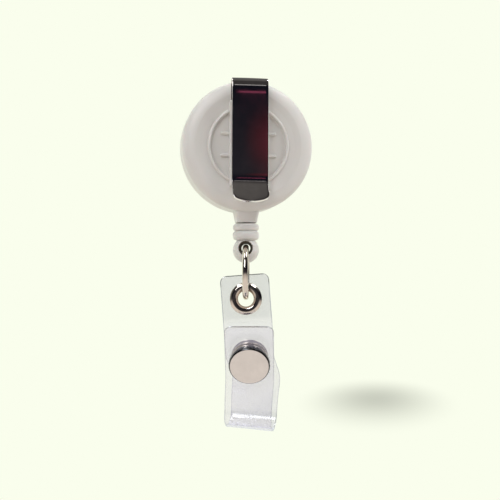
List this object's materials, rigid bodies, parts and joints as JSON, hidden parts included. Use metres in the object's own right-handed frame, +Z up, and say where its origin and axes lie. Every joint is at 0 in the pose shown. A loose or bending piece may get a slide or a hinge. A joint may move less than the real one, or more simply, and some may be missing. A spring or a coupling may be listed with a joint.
{
  "type": "retractable badge reel",
  "caption": "Round retractable badge reel with a sprung belt clip, a cord end fitting, a steel ring and a clear snap strap.",
  "frame": {"origin": "inside of the belt clip's bend, where a belt's edge rests", "axes": "+Z up, -Y towards the belt clip, +Y towards the label face, X across"},
  "size_m": [0.032, 0.0237, 0.0863],
  "materials": {
    "case_plastic": "satin moulded",
    "clip_steel": "bright nickel plated",
    "nickel": "bright nickel plated",
    "satin_nickel": "satin nickel",
    "spring_steel": "bare strip",
    "spool_plastic": "moulded",
    "cord_nylon": "braided nylon",
    "clear_vinyl": "clear polished"
  },
  "bodies": {
    "case": {"back_shell": "case_plastic", "front_shell": "case_plastic", "clip_base_leg": "clip_steel"},
    "clip": {"clip_tongue": "clip_steel"},
    "spool": {"spool": "spool_plastic", "spring_cover": "spring_steel", "power_spring": "spring_steel", "cord_windings": "cord_nylon"},
    "cord": {"cord_run": "cord_nylon", "cord_knot": "cord_nylon"},
    "fitting": {"end_fitting": "case_plastic"},
    "ring": {"steel_ring": "nickel"},
    "strap": {"strap": "clear_vinyl", "eyelet": "nickel", "eyelet_washer": "nickel", "snap_stud": "nickel", "snap_post": "nickel"},
    "flap": {"strap_flap": "clear_vinyl", "snap_cap": "satin_nickel", "snap_socket": "nickel", "snap_spring": "spring_steel"}
  },
  "joints": [
    {"name": "clip_open", "type": "hinge", "parent": "case", "child": "clip", "pos_m": [0, 0, -0.0009], "axis": [-1, 0, 0], "range_deg": [0, 12], "stiffness_Nm_per_rad": 0.3, "springref_deg": -6.88},
    {"name": "cord_pull", "type": "slide", "parent": "case", "child": "cord", "axis": [0, 0, -1], "range_m": [0, 0.6], "stiffness_N_per_m": 0.8, "springref_m": -0.5, "deforming": ["cord_run"]},
    {"name": "spool_spin", "type": "hinge", "parent": "case", "child": "spool", "pos_m": [0, 0.00625, -0.01545], "axis": [0, 1, 0], "range_deg": [0, 2780], "deforming": ["power_spring"]},
    {"name": "fitting_swivel", "type": "hinge", "parent": "cord", "child": "fitting", "pos_m": [0, 0.00625, -0.03425], "axis": [0, 0, 1], "continuous": true},
    {"name": "ring_swing", "type": "hinge", "parent": "fitting", "child": "ring", "pos_m": [0, 0.00625, -0.0402], "axis": [0.1736, 0.9848, 0], "range_deg": [-60, 60]},
    {"name": "strap_swing", "type": "hinge", "parent": "ring", "child": "strap", "pos_m": [0, 0.00625, -0.04605], "axis": [0.9848, -0.1736, 0], "range_deg": [-45, 45]},
    {"name": "flap_open", "type": "hinge", "parent": "strap", "child": "flap", "pos_m": [0.00229, 0.01485, -0.0853], "axis": [0.9313, -0.3575, -0.0693], "range_deg": [0, 115]}
  ],
  "couplings": [
    {"joint": "spool_spin", "follows": "cord_pull", "rad_per_m": 80.6}
  ]
}
